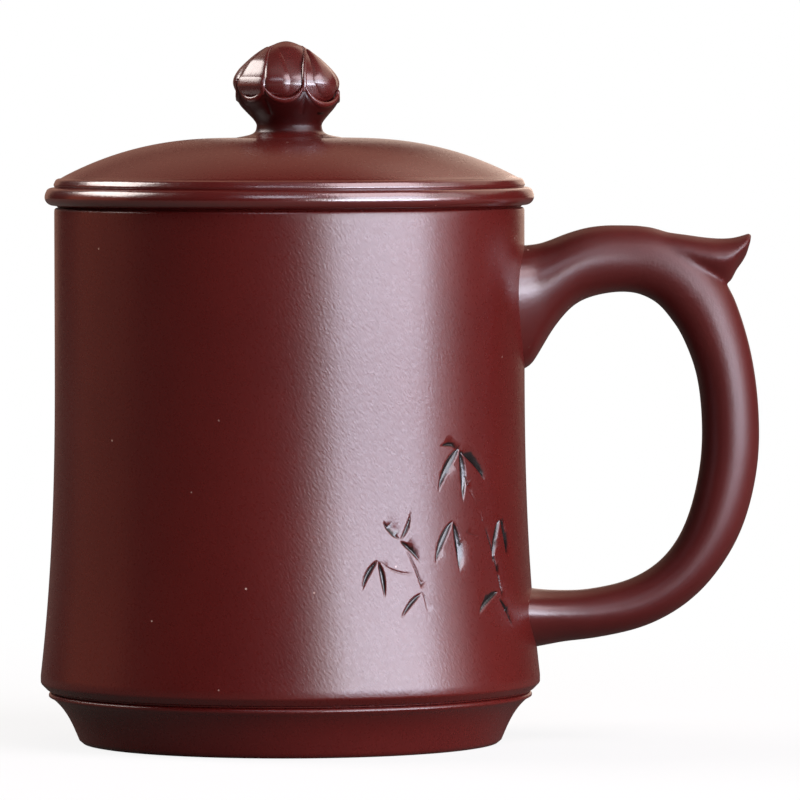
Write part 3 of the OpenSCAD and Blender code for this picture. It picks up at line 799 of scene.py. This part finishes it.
def cup_radius(z):
    t = min(1.0, max(0.0, (z - CUP_FROM_Z) / (CUP_TO_Z - CUP_FROM_Z))) ** 0.85
    return NECK_R + CUP_SPREAD * t * t * (3 - 2 * t)


def lip_height(angle):
    """The scalloped lip: round below a petal, with a point where two petals meet."""
    tops = MEETINGS + [(MEETINGS[0][0] + 360, *MEETINGS[0][1:])]
    for (a1, tip1, low), (a2, tip2, _) in zip(tops, tops[1:]):
        for a in (angle, angle + 360, angle - 360):
            if a1 <= a <= a2:
                u = 2 * (a - a1) / (a2 - a1) - 1
                rise = (1 - math.sqrt(1 - 0.95 * u * u)) / (1 - math.sqrt(0.05))
                return low + ((tip2 if u > 0 else tip1) - low) * rise


def scallop_lip(stem, first_lip):
    """Moves the rows of the lip to its height round the cup, and marks the lip, and less so the foot of the
    neck, as shinier and clear of the calyx's painted shade.
    """
    for i, v in enumerate(stem.data.vertices):
        row = i // CALYX_SIDES - first_lip
        if row < 0:
            continue
        angle = math.atan2(v.co.x, -v.co.y)
        z_lip = lip_height(math.degrees(angle))
        out, up = LIP[row]
        r = min(LIP_R_MOST, LIP_R_LOW + LIP_GROWS * (z_lip - LIP_LOW_Z)) + out
        z = z_lip + up
        if row < LIP_ROLL:
            r = min(r, cup_radius(z) + 0.02)
        elif row > LIP_INSIDE:
            r = min(r, cup_radius(z) - 0.4)
        v.co = Vector((math.sin(angle) * r, -math.cos(angle) * r, z)) * MM
    lip = stem.data.attributes.new("lip", "FLOAT", "POINT")
    for i, mark in enumerate(lip.data):
        row = i // CALYX_SIDES
        neck_share_clear_of_painted_shade = max(0.0, 0.8 - 0.1 * max(0, row - 8))
        mark.value = 1.0 if row >= first_lip + LIP_ROLL else neck_share_clear_of_painted_shade


stem_line = smooth_line([(r, DOME_TOP + up) for r, up in NECK_FOOT], 3)
stem_line += [(cup_radius(z), z) for z in np.linspace(CUP_FROM_Z, CUP_SIDE_TO_Z, 10)]
lip_line = [(LIP_R + out, CUP_TO_Z + up) for out, up in LIP]
stem = turn_clay("stem_and_calyx_of_knob", stem_line + lip_line, sides=CALYX_SIDES)
scallop_lip(stem, len(stem_line))
finish_mesh(stem, close=False)
give(lean_bud(stem), "lid", CALYX_CLAY_PAINTED_SHADE, "knob_clay", "knob_stem")

# ---------------------------------------------------------------- infuser: the part's solids keep their shape
for node in ("infuser_flange", "infuser_wall", "infuser_floor"):
    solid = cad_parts[node]
    solid.data.materials.clear()
    solid.data.materials.append(INFUSER_CLAY)

# ---------------------------------------------------------------- camera
SENSOR, FOCAL_PIXELS, FRAME_PIXELS = 36, 8440, 800
AIM, CAMERA_AWAY = Vector((0.0199, 0, 0.06153)), 1.5165
LOOKS_DOWN, ROLL = math.radians(2.26), math.radians(0.1)

camera_data = bpy.data.cameras.new("camera")
camera_data.sensor_width = SENSOR
camera_data.lens = SENSOR * FOCAL_PIXELS / FRAME_PIXELS
camera_data.clip_start, camera_data.clip_end = 0.05, 50
camera = bpy.data.objects.new("camera", camera_data)
scene.collection.objects.link(camera)
camera.location = AIM + Vector((0, -math.cos(LOOKS_DOWN), math.sin(LOOKS_DOWN))) * CAMERA_AWAY
camera.rotation_euler = (math.radians(90) - LOOKS_DOWN, ROLL, 0)
scene.camera = camera

# ---------------------------------------------------------------- floor and world
# White paper is under the mug and all round it, to the camera and through glass. The clay mirrors only this
# share of its white, and mirrors the lamps instead: at 1.0 it would mirror the white all round.
GLOSSY_SHARE = 0.01
PAPER, DULL_PAPER, FLOOR_PAPER = (1.0, 1.0, 1.0), (0.12, 0.10, 0.09), (0.8, 0.8, 0.8)
DARK_STUDIO = (0.008, 0.0065, 0.006)


def white_share(n, path, to_camera):
    """How much of the plain white a ray sees."""
    clear = n.math("MAXIMUM", to_camera, path["Is Transmission Ray"])
    return n.math("MAXIMUM", clear, n.math("MULTIPLY", path["Is Glossy Ray"], GLOSSY_SHARE))


def pale_floor():
    """White to the camera and dull to the clay, with a shadow that fades into the white behind."""
    m = bpy.data.materials.new("pale_floor")
    m.use_nodes = True
    n = Nodes(m.node_tree)
    m.node_tree.nodes.remove(n.find("BSDF_PRINCIPLED"))
    path = n.add("ShaderNodeLightPath").outputs
    colour = n.mix(path["Is Camera Ray"], DULL_PAPER, FLOOR_PAPER)
    matte = n.add("ShaderNodeBsdfDiffuse", {"Color": colour}).outputs[0]
    white = n.add("ShaderNodeEmission", {"Color": (*PAPER, 1), "Strength": 1.0}).outputs[0]
    far = n.add("ShaderNodeVectorMath", {0: n.place()}, operation="LENGTH").outputs["Value"]
    to_camera = n.math("MULTIPLY", path["Is Camera Ray"], n.ramp(far, 0.08, 0.30, 0.84, 1.0))
    mixed = n.add("ShaderNodeMixShader", {0: white_share(n, path, to_camera), 1: matte, 2: white}).outputs[0]
    m.node_tree.links.new(mixed, n.find("OUTPUT_MATERIAL").inputs["Surface"])
    return m


clear_bench()
bpy.ops.mesh.primitive_plane_add(size=6, location=(0, 0, 0))
floor = bpy.context.object
floor.name = "floor"
floor.data.materials.append(pale_floor())

world = bpy.data.worlds.new("studio")
scene.world = world
world.use_nodes = True
n = Nodes(world.node_tree)
path = n.add("ShaderNodeLightPath").outputs
seen = white_share(n, path, path["Is Camera Ray"])
world.node_tree.links.new(n.mix(seen, DARK_STUDIO, PAPER), n.find("BACKGROUND").inputs["Color"])

# ---------------------------------------------------------------- lamps
LAMPS_AWAY, LAMPS_NEAR = 2.0, 0.8
LAMPS_AIM = Vector((0, 0, 0.06))
LAVENDER, WARM, AMBER = (0.84, 0.86, 1.0), (1.0, 0.82, 0.68), (1.0, 0.55, 0.4)


def softbox(name, azimuth, elevation, wide, tall, radiance, colour=(1, 1, 1), away=LAMPS_AWAY):
    """A soft lamp round the mug: azimuth 0 is in front of it and 90 on the handle's side. wide and tall are
    the angles that it fills, seen from the mug, and radiance is its brightness, where 1 is white paper."""
    a, e = math.radians(azimuth), math.radians(elevation)
    lamp = bpy.data.lights.new(name, "AREA")
    lamp.shape = "RECTANGLE"
    lamp.size, lamp.size_y = (2 * away * math.tan(math.radians(angle / 2)) for angle in (wide, tall))
    lamp.energy = radiance * math.pi * lamp.size * lamp.size_y
    lamp.color = colour
    towards = Vector((math.sin(a) * math.cos(e), -math.cos(a) * math.cos(e), math.sin(e)))
    o = bpy.data.objects.new(name, lamp)
    o.location = towards * away + LAMPS_AIM
    o.rotation_euler = (-towards).to_track_quat("-Z", "Y").to_euler()
    o.visible_camera = False
    scene.collection.objects.link(o)


# the large lamp to the right of the camera, with what spills above and beside it
softbox("key_softbox", 46, 0.4, 50, 12.6, 15.8, (0.81, 0.83, 1.0), away=LAMPS_NEAR)
softbox("key_softbox_top", 46, 9.3, 50, 7, 6.5, away=LAMPS_NEAR)
softbox("middle_softbox", 48, 22, 40, 18, 7.4, LAVENDER)
softbox("upper_softbox", 52, 46, 40, 26, 5.1, (1.0, 0.84, 0.9))
softbox("key_edge_left", 18, 6, 14, 18, 3.3)
softbox("key_edge_right", 80, 6, 16, 18, 3.0, (1.0, 0.78, 0.83))
softbox("right_softbox", 84, 28, 26, 24, 1.4)
softbox("front_softbox", -4, 35, 24, 14, 3.6, LAVENDER)
# the lamp high on the left, and a weak one under it
softbox("left_softbox", -108, 36, 38, 24, 8.6, (1.0, 0.9, 0.86))
softbox("left_fill", -104, 8, 44, 34, 0.5, (1.0, 0.25, 0.15))
# what the walls and the ceiling give back
softbox("warm_wall", 136, 38, 50, 28, 0.8, WARM)
softbox("warm_backdrop", 163, 12, 20, 26, 1.1, (1.0, 0.75, 0.6))
softbox("rear_strip", 176, 7, 12, 14, 1.6, (1.0, 0.75, 0.62))
softbox("low_backdrop", -166, 8, 22, 24, 0.45, AMBER)
softbox("back_fill", 180, 40, 60, 28, 0.5, AMBER)
softbox("ceiling", 0, 78, 30, 30, 0.32)

scene.view_settings.view_transform = "Standard"
